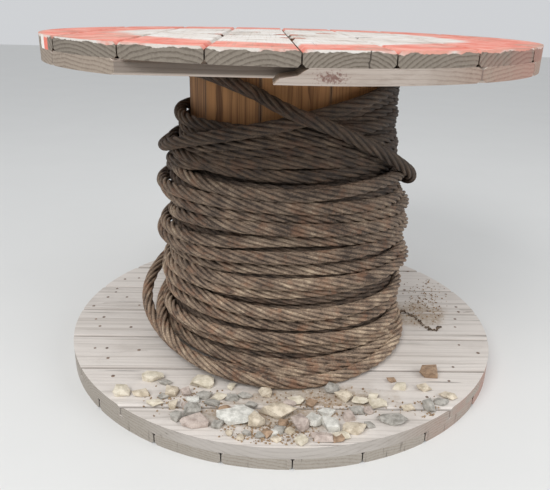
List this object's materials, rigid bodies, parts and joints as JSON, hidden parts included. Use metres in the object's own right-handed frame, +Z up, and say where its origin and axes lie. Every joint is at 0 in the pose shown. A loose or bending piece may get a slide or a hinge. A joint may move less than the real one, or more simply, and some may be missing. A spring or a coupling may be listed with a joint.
{
  "type": "wooden cable drum",
  "caption": "Wooden cable drum standing on end: boarded round flanges, a barrel of flat staves and rusty wire rope wound on it, with a broken flange board.",
  "frame": {"origin": "centre of the underside of the bottom flange, on the drum's axis", "axes": "+Z up along the drum's axis; -Y towards the side with the broken flange board; +X to the right seen from there"},
  "size_m": [1.067, 1.067, 0.762],
  "materials": {
    "painted_board": "weathered, paint worn off in the middle",
    "bare_board": "bare, weathered and dusty",
    "barrel_stave": "bare sawn",
    "wire_rope": "rusted and dusty",
    "bolt_steel": "rusted",
    "loose_gravel": "dry, dusty stones lying on the bottom flange"
  },
  "bodies": {
    "root": {"bottom_inner_board_1": "bare_board", "bottom_inner_board_2": "bare_board", "bottom_inner_board_3": "bare_board", "bottom_inner_board_4": "bare_board", "bottom_inner_board_5": "bare_board", "bottom_inner_board_6": "bare_board", "bottom_inner_board_7": "bare_board", "bottom_inner_board_8": "bare_board", "bottom_outer_board_1": "bare_board", "bottom_outer_board_2": "bare_board", "bottom_outer_board_3": "bare_board", "bottom_outer_board_4": "bare_board", "bottom_outer_board_5": "bare_board", "bottom_outer_board_6": "bare_board", "bottom_outer_board_7": "bare_board", "bottom_outer_board_8": "bare_board", "rope_winding": "wire_rope", "stave_1": "barrel_stave", "stave_10": "barrel_stave", "stave_2": "barrel_stave", "stave_3": "barrel_stave", "stave_4": "barrel_stave", "stave_5": "barrel_stave", "stave_6": "barrel_stave", "stave_7": "barrel_stave", "stave_8": "barrel_stave", "stave_9": "barrel_stave", "tie_bolt_1": "bolt_steel", "tie_bolt_2": "bolt_steel", "tie_bolt_3": "bolt_steel", "tie_bolt_4": "bolt_steel", "tie_bolt_5": "bolt_steel", "tie_nuts": "bolt_steel", "tie_washers": "bolt_steel", "top_inner_board_1": "bare_board", "top_inner_board_2": "bare_board", "top_inner_board_3": "bare_board", "top_inner_board_4": "bare_board", "top_inner_board_5": "bare_board", "top_inner_board_6": "bare_board", "top_inner_board_7": "bare_board", "top_inner_board_8": "bare_board", "top_outer_board_1": "painted_board", "top_outer_board_2": "painted_board", "top_outer_board_3": "painted_board", "top_outer_board_4": "painted_board", "top_outer_board_5": "painted_board", "top_outer_board_6": "painted_board", "top_outer_board_7": "painted_board", "top_outer_board_8": "painted_board"}
  },
  "joints": []
}
